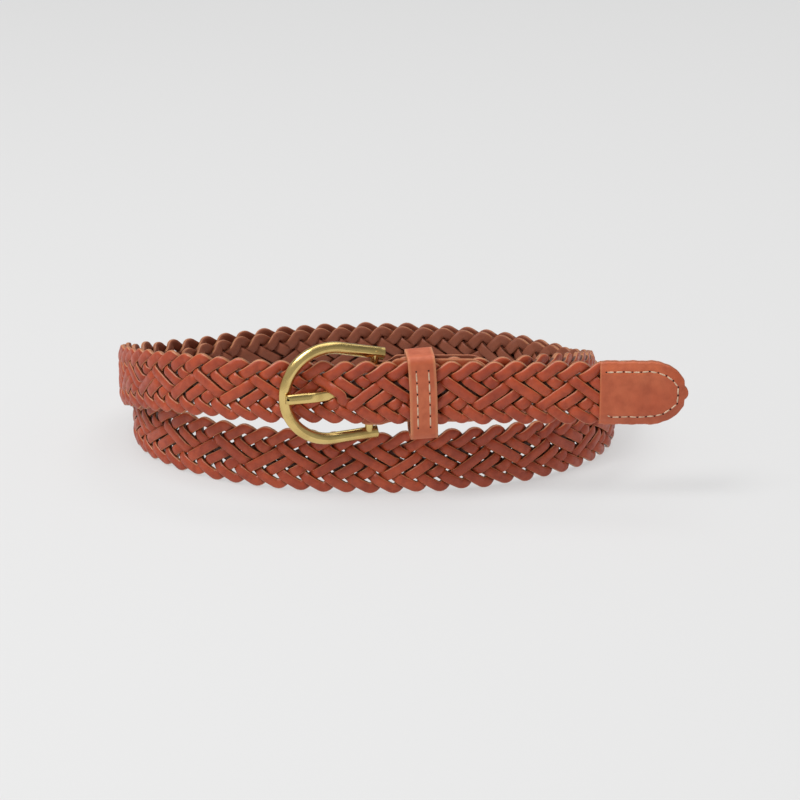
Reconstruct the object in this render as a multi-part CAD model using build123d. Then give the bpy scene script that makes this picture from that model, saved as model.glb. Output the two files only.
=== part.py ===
"""Braided leather belt, fastened and coiled in two turns, standing on its edge.

The belt starts at its buckle, runs right behind its own free end, goes twice round the coil
and comes back through the buckle and the keeper. Millimetres, +Z up, +X along the front
towards the free end, and the wearer's outside of the buckle faces -Y.
"""

import math
import os

from build123d import *

# ---------------------------------------------------------------- strap
STRAP_WIDTH = 25.0
STRAP_THICKNESS = 3.6
STRAP_EDGE_THICKNESS = 2.0   # the strands turn over singly at the edges
STRAP_EDGE_BAND = 3.0        # height of the thinner band along each edge
LEATHER = 1.2                # smooth leather of chape and tip
FIT_GAP = 0.05               # between layers sewn on each other
LOOSE_GAP = 0.3              # between pieces that move past each other
HALF_STRAP = STRAP_THICKNESS / 2
LEAF_INSIDE = HALF_STRAP + FIT_GAP
LEAF_OUTSIDE = LEAF_INSIDE + LEATHER

# ---------------------------------------------------------------- bar and the fold round it
BAR_RADIUS = 1.6
BAR_FOLD_GAP = 0.25
FOLD_INSIDE = BAR_RADIUS + BAR_FOLD_GAP
FOLD_OUTSIDE = FOLD_INSIDE + LEATHER
LAP_GAP = 0.35               # between the folded end and the free end in front of it

# ---------------------------------------------------------------- coil, about its own middle
TURN_GAP = 6.0               # free height between the two turns at the front
UPPER_LIFT = STRAP_WIDTH + TURN_GAP
OUTER_LAP_Y = -79.0          # free end, in front
BUCKLE_DIP = 1.6             # by which the free end lies further back under the round end
DIP_REACH = (-28.0, -4.0)    # where it comes forward again
BAR_SETBACK = HALF_STRAP + LAP_GAP + max(LEAF_OUTSIDE, FOLD_OUTSIDE)
INNER_LAP_Y = OUTER_LAP_Y + BAR_SETBACK
COIL_CORNERS = [             # front, right, back, left, front, right, back, left, front
    (46.0, INNER_LAP_Y),
    (86.5, 6.0),
    (5.0, 71.5),
    (-94.7, 0.0),
    (0.5, -68.7),
    (94.8, -2.0),
    (2.0, 77.2),
    (-100.3, 8.0),
    (-33.0, OUTER_LAP_Y + BUCKLE_DIP),
]
FALL_TURN = (12.0, 135.0)    # degrees of turn over which the strap comes down
RISE_TURN = (579.0, 702.0)   # and goes up again
CROSSING_UPPER = (61.0, 27.0, 4.4)   # turn, half width in degrees, and height given up
CROSSING_LOWER = (418.0, 30.0, 2.6)  # where the upper turn bears on the lower one
POINTS_PER_CORNER = 10
REST_TRIM = 0.12             # flattened off the edge that the coil stands on

# ---------------------------------------------------------------- buckle
BAR_DROP = 1.8               # bar's middle below the strap's middle
FRAME_ROUND_SETBACK = 15.8   # from the bar to the centre of the round end
FRAME_SECTION_WIDTH = 4.4
FRAME_SIDE_GAP = 3.05        # inside of the round end past each edge of the strap
FRAME_SIDE_RADIUS = STRAP_WIDTH / 2 + FRAME_SIDE_GAP + FRAME_SECTION_WIDTH / 2
FRAME_BACK = 1.0             # section behind the bar's plane
FRAME_SHOULDER = 0.6         # section in front of it, at its sides
FRAME_CREST = 2.2            # and at its ridge
FRAME_LEG_TAPER = 7.9        # degrees by which each leg closes in
FRAME_LEG_OVERHANG = 3.4     # leg ends past the bar
FRAME_TILT = 16.7            # round end lying out over the strap
FRAME_ROLL = 4.6             # bar leaning in the fold
BOSS_SIZE = 5.0
PRONG_BORE_GAP = 0.05
PRONG_RING_RADIUS = 3.0
PRONG_WIDTH = 4.2
PRONG_THICKNESS = 2.2
PRONG_REACH = 34.2           # bar to tip
PRONG_SKEW = 1.9             # degrees that it points below the frame's middle
PRONG_REST_GAP = 0.3
PRONG_SLOT_MARGIN = 0.8
PRONG_FOLD_GAP = 0.5         # at each side of the prong in the fold

# ---------------------------------------------------------------- chape
CHAPE_END_X = 45.0
CHAPE_EDGE_INSET = 0.3       # inside each edge of the strap
CHAPE_FOLD_INSET = 0.9       # more where it passes between the leg ends
CHAPE_FOLD_REACH = 6.0
CHAPE_CORNER_RADIUS = 9.0
CHAPE_START_X = 7.5          # strap's own end inside the fold
CHAPE_ROW_INSET = 3.2

# ---------------------------------------------------------------- keeper
KEEPER_X = 18.4
KEEPER_WIDTH = 10.2
KEEPER_LEATHER = 1.6
KEEPER_YAW = 5.0
KEEPER_LEAN = 3.5            # top towards the buckle
KEEPER_SLACK = 0.85          # front and back
KEEPER_TOP_GAP = 0.7
KEEPER_HANG = 3.5            # slack below the strap
KEEPER_CORNER_RADIUS = 3.2
KEEPER_ROW_OFFSET = 2.3
KEEPER_JOINT_GAP = 0.25
STAPLE_SPAN = 5.0
STAPLE_WIRE = 0.9

# ---------------------------------------------------------------- tip
TIP_START_X = 84.3
TIP_EDGE_LAP = 0.1           # past each edge of the strap
TIP_POINT_X = 117.6          # apex
TIP_POINT_LENGTH = 14.6      # over which both edges curve in to it
TIP_POINT_RADIUS = 3.0
TIP_STRAP_LAP = 14.0         # braid sewn in
TIP_ROW_INSET = 3.6
TIP_ROW_START_INSET = 2.2

# ---------------------------------------------------------------- sewing
STITCH_RADIUS = 0.3
STITCH_PITCH = 3.2
STITCH_GAP = 0.9
KEEPER_STITCH_PITCH = 4.9

STRAP_MIDDLE_Z = UPPER_LIFT + STRAP_WIDTH / 2
CHAPE_HEIGHT = STRAP_WIDTH - 2 * CHAPE_EDGE_INSET
CHAPE_FOLD_HEIGHT = STRAP_WIDTH - 2 * CHAPE_FOLD_INSET
TIP_HALF_HEIGHT = STRAP_WIDTH / 2 + TIP_EDGE_LAP
BAR_Z = STRAP_MIDDLE_Z - BAR_DROP


def smooth(value):
    """Rise from 0 to 1 without a corner."""
    value = min(max(value, 0.0), 1.0)
    return value * value * (3 - 2 * value)


def hump(turn, crossing):
    """Height given up at a crossing, fading out to both sides."""
    middle, half_width, height = crossing
    share = (turn - middle) / half_width
    return height * math.cos(math.pi * share / 2) ** 2 if abs(share) < 1 else 0.0


def lift(turn):
    """Height of the strap's lower edge at a turn of the coil, in degrees."""
    fall = smooth((turn - FALL_TURN[0]) / (FALL_TURN[1] - FALL_TURN[0]))
    rise = smooth((turn - RISE_TURN[0]) / (RISE_TURN[1] - RISE_TURN[0]))
    return UPPER_LIFT * (1 - fall + rise) - REST_TRIM * (fall - rise)


def coil_stations():
    """The strap's middle line as (x, y, normal, turn), from the buckle end to the free end."""
    stations = []
    straight_steps = 12
    start_x, end_x = CHAPE_START_X, TIP_START_X + TIP_STRAP_LAP
    first_x = COIL_CORNERS[0][0]
    last_x = COIL_CORNERS[-1][0]
    for step in range(straight_steps):
        x = start_x + (first_x - start_x) * step / straight_steps
        stations.append((x, INNER_LAP_Y, (0.0, -1.0), 0.0))
    for corner in range(len(COIL_CORNERS) - 1):
        x0, y0 = COIL_CORNERS[corner]
        x1, y1 = COIL_CORNERS[corner + 1]
        for step in range(POINTS_PER_CORNER):
            angle = math.pi / 2 * step / POINTS_PER_CORNER
            sine, cosine = math.sin(angle), math.cos(angle)
            if corner % 2 == 0:
                x, y = x0 + (x1 - x0) * sine, y1 + (y0 - y1) * cosine
                along = ((x1 - x0) * cosine, (y1 - y0) * sine)
            else:
                x, y = x1 + (x0 - x1) * cosine, y0 + (y1 - y0) * sine
                along = ((x1 - x0) * sine, (y1 - y0) * cosine)
            length = math.hypot(*along)
            normal = (along[1] / length, -along[0] / length)
            stations.append((x, y, normal, 90 * corner + math.degrees(angle)))
    full_turn = 90.0 * (len(COIL_CORNERS) - 1)
    free_steps = 4 * straight_steps
    dip_start, dip_end = DIP_REACH
    for step in range(free_steps + 1):
        x = last_x + (end_x - last_x) * step / free_steps
        share = min(max((dip_end - x) / (dip_end - dip_start), 0.0), 1.0)
        y = OUTER_LAP_Y + BUCKLE_DIP * smooth(share)
        slope = -BUCKLE_DIP * 6 * share * (1 - share) / (dip_end - dip_start)
        length = math.hypot(1.0, slope)
        stations.append((x, y, (slope / length, -1 / length), full_turn))
    return stations


def make_braided_strap():
    """The plaited strap as one closed ribbon with thinner edges and a gap for the prong."""
    half, edge = HALF_STRAP, STRAP_EDGE_THICKNESS / 2
    corners = [
        (edge, 0.0, 0), (half, 0.0, 1), (half, 0.0, 2), (edge, 0.0, 3),
        (-edge, 0.0, 3), (-half, 0.0, 2), (-half, 0.0, 1), (-edge, 0.0, 0),
    ]
    lines = []
    for offset, _, level in corners:
        points = []
        for x, y, normal, turn in coil_stations():
            low = lift(turn) + hump(turn, CROSSING_UPPER)
            high = lift(turn) + STRAP_WIDTH - hump(turn, CROSSING_LOWER)
            z = (low, low + STRAP_EDGE_BAND, high - STRAP_EDGE_BAND, high)[level]
            points.append((x + offset * normal[0], y + offset * normal[1], z))
        lines.append(Edge.make_spline(points))
    faces = []
    for index, line in enumerate(lines):
        following = lines[(index + 1) % len(lines)]
        faces.append(Face.make_surface_from_curves(line, following))
    for end in (0, 1):
        faces.append(Face(Wire.make_polygon([line @ end for line in lines])))
    ribbon = Solid(Shell(faces))
    slot_start, slot_end = prong_slot_range()
    slot = Box(slot_end - slot_start, 4 * STRAP_THICKNESS, PRONG_WIDTH + 2 * PRONG_SLOT_MARGIN)
    ribbon -= Pos((slot_start + slot_end) / 2, OUTER_LAP_Y, BAR_Z) * slot
    return ribbon - Pos(0, 0, -STRAP_WIDTH / 2) * Box(400, 400, STRAP_WIDTH)


def prong_lean():
    """Angle between the frame and the prong that rests on its ridge, in degrees."""
    rest = FRAME_CREST + PRONG_REST_GAP + PRONG_THICKNESS / 2
    return math.degrees(math.asin(rest / (FRAME_ROUND_SETBACK + FRAME_SIDE_RADIUS)))


def prong_slot_range():
    """Stretch of the free end that the prong passes through at any angle it takes."""
    slope = math.radians(FRAME_TILT + prong_lean())
    out = BAR_SETBACK + HALF_STRAP + PRONG_THICKNESS / 2 / math.cos(slope)
    return -(out / math.tan(slope) + 2.5), -2.0


def bar_place():
    """The bar's frame: Z along the bar, at the fold's middle."""
    return Location((0, INNER_LAP_Y, BAR_Z)) * Rot(0, FRAME_ROLL, 0)


def buckle_place():
    """The buckle's frame: X towards the leg ends, -Y out of the buckle, Z along the bar."""
    return bar_place() * Rot(0, 0, FRAME_TILT)


def make_buckle_frame():
    """Horseshoe of ridged brass with a boss for the bar at each leg end."""
    taper = math.radians(FRAME_LEG_TAPER)
    radius = FRAME_SIDE_RADIUS
    centre_x = -FRAME_ROUND_SETBACK
    tangent_x = centre_x + radius * math.sin(taper)
    tangent_z = radius * math.cos(taper)
    leg_run = FRAME_LEG_OVERHANG - tangent_x
    end_z = tangent_z - leg_run * math.tan(taper)
    low_leg = Edge.make_line((FRAME_LEG_OVERHANG, 0, -end_z), (tangent_x, 0, -tangent_z))
    top_leg = Edge.make_line((tangent_x, 0, tangent_z), (FRAME_LEG_OVERHANG, 0, end_z))
    round_end = Edge.make_three_point_arc(
        (tangent_x, 0, -tangent_z), (centre_x - radius, 0, 0), (tangent_x, 0, tangent_z)
    )
    path = Wire([low_leg, round_end, top_leg])
    half = FRAME_SECTION_WIDTH / 2
    outline = Polyline(
        (-half, FRAME_BACK),
        (-half, -FRAME_SHOULDER),
        (0, -FRAME_CREST),
        (half, -FRAME_SHOULDER),
        (half, FRAME_BACK),
        close=True,
    )
    section = make_face(outline)
    section = fillet(section.vertices(), 0.4)
    start = Plane(origin=path @ 0, x_dir=(path % 0).cross(Vector(0, 1, 0)), z_dir=path % 0)
    if start.y_dir.Y < 0:
        start = Plane(origin=path @ 0, x_dir=-start.x_dir, z_dir=path % 0)
    horseshoe = sweep(start * section, path=path)
    bosses = []
    boss_z = tangent_z + tangent_x * math.tan(taper)
    for side in (-1, 1):
        boss = Box(BOSS_SIZE, 2 * FRAME_CREST, FRAME_SECTION_WIDTH)
        boss = fillet(boss.edges(), 0.5)
        bosses.append(Pos(0, 0, side * boss_z) * Rot(0, side * FRAME_LEG_TAPER, 0) * boss)
    frame = horseshoe + bosses[0] + bosses[1]
    bore = Cylinder(BAR_RADIUS, bar_length())
    return buckle_place() * (frame - bore)


def bar_length():
    """The bar ends inside both leg ends."""
    taper = math.radians(FRAME_LEG_TAPER)
    leg_middle = (FRAME_SIDE_RADIUS - FRAME_ROUND_SETBACK * math.sin(taper)) / math.cos(taper)
    return 2 * leg_middle + FRAME_SECTION_WIDTH * 0.5


def make_buckle_bar():
    """The pin that frame and prong turn on."""
    return buckle_place() * Cylinder(BAR_RADIUS, bar_length())


def make_prong():
    """Prong with a ring round the bar and a bevelled tip that rests on the frame."""
    ring = Cylinder(PRONG_RING_RADIUS, PRONG_WIDTH)
    shank = Box(PRONG_REACH, PRONG_THICKNESS, PRONG_WIDTH)
    shank = fillet(shank.edges().filter_by(Axis.X), 0.5)
    shank = Pos(-PRONG_REACH / 2, 0, 0) * shank
    bevel = Box(9.0, 2.0, 3.0)
    bevel_place = Pos(-PRONG_REACH + 3.0, -PRONG_THICKNESS / 2, PRONG_WIDTH / 2) * Rot(40, 0, 0)
    shank -= bevel_place * bevel
    nose = Pos(-PRONG_REACH, 0, 0) * Rot(0, 0, 35) * Box(2.0, 6.0, 2 * PRONG_WIDTH)
    shank -= nose
    level = Rot(0, -PRONG_SKEW, 0)
    prong = ring + level * shank
    prong -= Cylinder(BAR_RADIUS + PRONG_BORE_GAP, 2 * PRONG_WIDTH)
    return buckle_place() * Rot(0, 0, prong_lean()) * prong


def make_chape():
    """Leather folded round the bar, its two leaves holding the strap's end."""
    reach = CHAPE_END_X + CHAPE_HEIGHT / 2 * math.tan(math.radians(FRAME_ROLL))
    outer = Circle(FOLD_OUTSIDE) + Pos(reach / 2, 0) * Rectangle(reach, 2 * LEAF_OUTSIDE)
    inner = Circle(FOLD_INSIDE) + Pos(reach / 2 + 1, 0) * Rectangle(reach + 2, 2 * LEAF_INSIDE)
    folded = bar_place() * extrude(outer - inner, amount=CHAPE_HEIGHT, both=True)
    left = CHAPE_FOLD_REACH
    leaf = Box(CHAPE_END_X - left, 4 * LEAF_OUTSIDE, CHAPE_HEIGHT)
    ends = leaf.edges().filter_by(Axis.Y).group_by(Axis.X)[-1]
    leaf = fillet(ends, min(CHAPE_CORNER_RADIUS, CHAPE_HEIGHT / 2 - 0.5))
    leaf = Pos((CHAPE_END_X + left) / 2, INNER_LAP_Y, STRAP_MIDDLE_Z) * leaf
    fold_length = 2 * (CHAPE_FOLD_REACH + 2.0)
    fold = bar_place() * Box(fold_length, 4 * LEAF_OUTSIDE, CHAPE_FOLD_HEIGHT)
    slot_width = PRONG_WIDTH + 2 * PRONG_FOLD_GAP
    slot = Box(FOLD_OUTSIDE + CHAPE_START_X, 3 * FOLD_OUTSIDE, slot_width)
    slot = Pos((CHAPE_START_X - FOLD_OUTSIDE) / 2, 0, 0) * slot
    return (folded & (leaf + fold)) - bar_place() * slot


def stitch(length):
    """One stitch along X, half round, standing on the XZ plane towards -Y."""
    round_bar = Rot(0, 90, 0) * Cylinder(STITCH_RADIUS, length)
    return round_bar & Pos(0, -STITCH_RADIUS, 0) * Box(2 * length, 2 * STITCH_RADIUS, 1)


def stitch_row(path, pitch, side):
    """Stitches along a wire, standing out towards -Y (side -1) or +Y (side 1)."""
    count = max(2, round(path.length / pitch))
    length = path.length / count - STITCH_GAP
    solids = []
    for index in range(count):
        share = (index + 0.5) / count
        place, along = path @ share, path % share
        slope = -math.degrees(math.atan2(along.Z, along.X))
        turn = Rot(0, slope, 0) * Rot(0, 0, 180 if side > 0 else 0)
        solids.append(Pos(place.X, place.Y, place.Z) * turn * stitch(length))
    return Compound(solids)


def chape_row(face_y, side):
    """Open row along the chape's two long edges and its round end."""
    half = CHAPE_HEIGHT / 2 - CHAPE_ROW_INSET
    radius = CHAPE_CORNER_RADIUS - CHAPE_ROW_INSET
    start_x, end_x = CHAPE_START_X + 1.5, CHAPE_END_X - CHAPE_ROW_INSET
    corner = radius * (1 - math.sqrt(0.5))
    top, low = STRAP_MIDDLE_Z + half, STRAP_MIDDLE_Z - half
    path = Wire([
        Edge.make_line((start_x, face_y, top), (end_x - radius, face_y, top)),
        Edge.make_three_point_arc(
            (end_x - radius, face_y, top),
            (end_x - corner, face_y, top - corner),
            (end_x, face_y, top - radius),
        ),
        Edge.make_line((end_x, face_y, top - radius), (end_x, face_y, low + radius)),
        Edge.make_three_point_arc(
            (end_x, face_y, low + radius),
            (end_x - corner, face_y, low + corner),
            (end_x - radius, face_y, low),
        ),
        Edge.make_line((end_x - radius, face_y, low), (start_x, face_y, low)),
    ])
    return stitch_row(path, STITCH_PITCH, side)


def tip_outline(inset, start_inset):
    """Outline of the tip, square at the strap and coming to a rounded point, moved inwards."""
    half = TIP_HALF_HEIGHT
    length = TIP_POINT_LENGTH
    bend = (half**2 + length**2) / (2 * half)
    shoulder = TIP_POINT_X - length
    start = TIP_START_X + start_inset
    reach = math.sqrt((bend - inset) ** 2 - (bend - half) ** 2)
    middle_angle = math.atan2(bend - half, reach) / 2 + math.pi / 4
    middle = (
        shoulder + (bend - inset) * math.cos(middle_angle),
        half - bend + (bend - inset) * math.sin(middle_angle),
    )
    top = Line((start, half - inset), (shoulder, half - inset))
    top_bend = ThreePointArc((shoulder, half - inset), middle, (shoulder + reach, 0))
    low_bend = ThreePointArc(
        (shoulder + reach, 0), (middle[0], -middle[1]), (shoulder, inset - half)
    )
    low = Line((shoulder, inset - half), (start, inset - half))
    back = Line((start, inset - half), (start, half - inset))
    return make_face([top, top_bend, low_bend, low, back])


def make_tip_leaf(side):
    """One leather of the tip, filled out to the middle where the strap has ended."""
    outline = tip_outline(0.0, 0.0)
    apex = outline.vertices().sort_by(Axis.X)[-1]
    leaf = extrude(fillet(apex, TIP_POINT_RADIUS), amount=LEAF_OUTSIDE)
    pocket_length = TIP_STRAP_LAP + 1.0
    pocket = Box(pocket_length, 3 * TIP_HALF_HEIGHT, 2 * LEAF_INSIDE)
    pocket_end = TIP_START_X + TIP_STRAP_LAP + FIT_GAP
    leaf -= Pos(pocket_end - pocket_length / 2, 0, 0) * pocket
    upright = Pos(0, OUTER_LAP_Y, STRAP_MIDDLE_Z) * Rot(-90 * side, 0, 0)
    return upright * leaf


def tip_row(side):
    """Closed row of stitches on one face of the tip."""
    row = tip_outline(TIP_ROW_INSET, TIP_ROW_START_INSET).face().outer_wire()
    face_y = OUTER_LAP_Y + side * LEAF_OUTSIDE
    upright = Pos(0, face_y, STRAP_MIDDLE_Z) * Rot(90, 0, 0)
    return stitch_row(upright * row, STITCH_PITCH, side)


def keeper_box():
    """Inside depth, inside height and middle of the keeper."""
    front = OUTER_LAP_Y - HALF_STRAP - KEEPER_SLACK
    back = INNER_LAP_Y + LEAF_OUTSIDE + STITCH_RADIUS + KEEPER_SLACK
    top = UPPER_LIFT + STRAP_WIDTH + KEEPER_TOP_GAP
    low = UPPER_LIFT - KEEPER_HANG
    return back - front, top - low, (back + front) / 2, (top + low) / 2


def keeper_place():
    """The keeper's frame at its middle, turned a little about the upright."""
    _, _, middle_y, middle_z = keeper_box()
    turn = Rot(0, -KEEPER_LEAN, 0) * Rot(0, 0, KEEPER_YAW)
    return Pos(KEEPER_X, middle_y, middle_z) * turn


def make_staple():
    """Flat wire staple, its crown on the keeper's back and its legs through the leather."""
    depth, _, _, _ = keeper_box()
    back = depth / 2 + KEEPER_LEATHER
    crown = Pos(0, back + STAPLE_WIRE / 4, 0) * Box(STAPLE_WIRE, STAPLE_WIRE / 2, STAPLE_SPAN)
    staple = crown
    for side in (-1, 1):
        leg = Box(STAPLE_WIRE, KEEPER_LEATHER, STAPLE_WIRE / 2)
        leg_z = side * (STAPLE_SPAN / 2 - STAPLE_WIRE / 4)
        staple += Pos(0, back - KEEPER_LEATHER / 2, leg_z) * leg
    return staple


def make_keeper_loop():
    """Leather loop round both laps of the strap, its ends meeting at the back."""
    depth, height, _, _ = keeper_box()
    wall = KEEPER_LEATHER
    outer = RectangleRounded(depth + 2 * wall, height + 2 * wall, KEEPER_CORNER_RADIUS)
    inner = RectangleRounded(depth, height, KEEPER_CORNER_RADIUS - wall)
    profile = Plane.YZ * (outer - inner)
    loop = extrude(profile, amount=KEEPER_WIDTH / 2, both=True)
    joint = Pos(0, depth / 2 + wall / 2, 0) * Box(2 * KEEPER_WIDTH, 2 * wall, KEEPER_JOINT_GAP)
    return keeper_place() * (loop - joint - make_staple())


def keeper_row(side):
    """One row of stitches down the keeper's front, left (-1) or right (1)."""
    depth, height, _, _ = keeper_box()
    face_y = -(depth / 2 + KEEPER_LEATHER)
    half = height / 2 + KEEPER_LEATHER - KEEPER_CORNER_RADIUS
    x = side * KEEPER_ROW_OFFSET
    path = Wire([Edge.make_line((x, face_y, half), (x, face_y, -half))])
    return keeper_place() * stitch_row(path, KEEPER_STITCH_PITCH, -1)


def build_parts():
    """Every sub-part by its node name."""
    return {
        "braided_strap": make_braided_strap(),
        "chape": make_chape(),
        "chape_thread_front": chape_row(INNER_LAP_Y - LEAF_OUTSIDE, -1),
        "chape_thread_back": chape_row(INNER_LAP_Y + LEAF_OUTSIDE, 1),
        "tip_front": make_tip_leaf(-1),
        "tip_back": make_tip_leaf(1),
        "tip_thread_front": tip_row(-1),
        "tip_thread_back": tip_row(1),
        "keeper_loop": make_keeper_loop(),
        "keeper_thread_left": keeper_row(-1),
        "keeper_thread_right": keeper_row(1),
        "keeper_staple": keeper_place() * make_staple(),
        "buckle_frame": make_buckle_frame(),
        "buckle_bar": make_buckle_bar(),
        "prong": make_prong(),
    }


def main():
    """Build every piece, set the origin under the middle of the whole belt and write the files."""
    parts = build_parts()
    boxes = [shape.bounding_box() for shape in parts.values()]
    low = [min(tuple(box.min)[axis] for box in boxes) for axis in range(3)]
    high = [max(tuple(box.max)[axis] for box in boxes) for axis in range(3)]
    to_origin = Pos(-(low[0] + high[0]) / 2, -(low[1] + high[1]) / 2, -low[2])
    os.makedirs("parts", exist_ok=True)
    for name, shape in parts.items():
        export_step(to_origin * shape, f"parts/{name}.step")
    bar = to_origin * bar_place()
    print("size", [round(high[axis] - low[axis], 3) for axis in range(3)])
    print("coil middle", tuple(to_origin.position))
    print("bar", tuple(bar.position), "axis", tuple(Plane(bar).z_dir))


main()
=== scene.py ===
"""Looks of a braided leather belt, coiled in two turns and fastened.

Lengths in the classes are millimetres about the middle of the coil, as a belt maker would mark
them out, and become metres in the row frame when a piece is placed.
"""

import logging
import math
from dataclasses import dataclass, field
from enum import Enum
from typing import Callable

import bmesh
import bpy
from mathutils import Euler, Matrix, Vector


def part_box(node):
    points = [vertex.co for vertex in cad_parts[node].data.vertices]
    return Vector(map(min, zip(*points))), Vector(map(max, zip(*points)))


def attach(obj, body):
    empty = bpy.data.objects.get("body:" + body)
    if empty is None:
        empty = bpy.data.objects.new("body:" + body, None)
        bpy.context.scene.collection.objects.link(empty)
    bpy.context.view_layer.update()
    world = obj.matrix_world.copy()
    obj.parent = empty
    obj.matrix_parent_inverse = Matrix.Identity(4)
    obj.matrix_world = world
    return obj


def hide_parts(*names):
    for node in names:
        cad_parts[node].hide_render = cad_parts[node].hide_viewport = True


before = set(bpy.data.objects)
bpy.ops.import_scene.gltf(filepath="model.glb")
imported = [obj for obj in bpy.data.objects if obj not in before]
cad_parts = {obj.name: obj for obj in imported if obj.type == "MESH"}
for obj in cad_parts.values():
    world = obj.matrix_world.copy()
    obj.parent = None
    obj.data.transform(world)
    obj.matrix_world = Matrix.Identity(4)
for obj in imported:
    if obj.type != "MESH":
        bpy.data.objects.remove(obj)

LOG = logging.getLogger("belt")
MM = 0.001
BAR_HEIGHT = 41.7
INNER_LAP_Y = -73.8
OUTER_LAP_Y = -79.0
BUCKLE_DIP = 1.6
STRAP_MIDDLE_Z = 43.5
STRAP_WIDTH = 25.0


class Body(str, Enum):
    """The rigid bodies that pieces ride on."""

    STRAP = "strap"
    BUCKLE = "buckle"
    PRONG = "prong"
    KEEPER = "keeper"


class Slot(str, Enum):
    """The record's material slots."""

    BRAID = "braid_leather"
    SMOOTH = "smooth_leather"
    THREAD = "thread"
    BRASS = "brass"


def coil_middle() -> Vector:
    """Find the coil's middle on the floor from where the buckle's bar lies.

    Returns:
        The middle in the row frame, in millimetres.
    """
    low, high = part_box("buckle_bar")
    bar = (low + high) / 2 / MM
    return Vector((bar.x, bar.y - INNER_LAP_Y, bar.z - BAR_HEIGHT))


COIL_MIDDLE = coil_middle()


def placed(point: Vector) -> Vector:
    """Turn a point in millimetres about the coil's middle into metres in the row frame."""
    return (point + COIL_MIDDLE) * MM


def smooth(value: float) -> float:
    """Rise from 0 to 1 without a corner."""
    value = min(max(value, 0.0), 1.0)
    return value * value * (3 - 2 * value)


# ------------------------------------------------------------------ finishes


class Chart:
    """A material's node tree with short ways to add and join nodes."""

    def __init__(self, name: str) -> None:
        """Start a material that holds one Principled shader."""
        self.material = bpy.data.materials.new(name)
        self.material.use_nodes = True
        self.tree = self.material.node_tree
        self.shader = self.tree.nodes["Principled BSDF"]

    def add(self, kind: str, **settings: object) -> bpy.types.Node:
        """Add a node.

        Args:
            kind: The node's type, such as ShaderNodeTexNoise.
            settings: Node properties, or input values by socket name with _ for a space.

        Returns:
            The new node.
        """
        node = self.tree.nodes.new(kind)
        for key, value in settings.items():
            if hasattr(node, key):
                setattr(node, key, value)
            else:
                node.inputs[key.replace("_", " ")].default_value = value
        return node

    def join(self, source: bpy.types.NodeSocket, target: bpy.types.NodeSocket) -> None:
        """Link two sockets."""
        self.tree.links.new(source, target)

    def blend(
        self,
        share: bpy.types.NodeSocket,
        first: bpy.types.NodeSocket | tuple[float, ...],
        second: bpy.types.NodeSocket | tuple[float, ...],
    ) -> bpy.types.NodeSocket:
        """Mix two colours.

        Args:
            share: How much of the second shows, 0 to 1.
            first: A colour or a colour socket.
            second: A colour or a colour socket.

        Returns:
            The mixed colour's socket.
        """
        node = self.add("ShaderNodeMix", data_type="RGBA")
        self.join(share, node.inputs[0])
        for socket, value in ((node.inputs[6], first), (node.inputs[7], second)):
            if isinstance(value, tuple):
                socket.default_value = value
            else:
                self.join(value, socket)
        return node.outputs[2]

    def spread(
        self, source: bpy.types.NodeSocket, low: float, high: float, to_low: float, to_high: float
    ) -> bpy.types.NodeSocket:
        """Map a range of values on to another one and return the result's socket."""
        node = self.add("ShaderNodeMapRange")
        self.join(source, node.inputs[0])
        for index, value in enumerate((low, high, to_low, to_high), start=1):
            node.inputs[index].default_value = value
        return node.outputs[0]

    def bump(
        self, height: bpy.types.NodeSocket, strength: float, distance: float,
        under: bpy.types.NodeSocket | None = None,
    ) -> bpy.types.NodeSocket:
        """Add a bump and return its normal's socket.

        Args:
            height: What stands out.
            strength: Share of the bump that shows.
            distance: Its height in metres.
            under: The normal that it stands on.

        Returns:
            The new normal's socket.
        """
        node = self.add("ShaderNodeBump", Strength=strength, Distance=distance)
        self.join(height, node.inputs["Height"])
        if under is not None:
            self.join(under, node.inputs["Normal"])
        return node.outputs["Normal"]


Colour = tuple[float, float, float, float]


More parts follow.
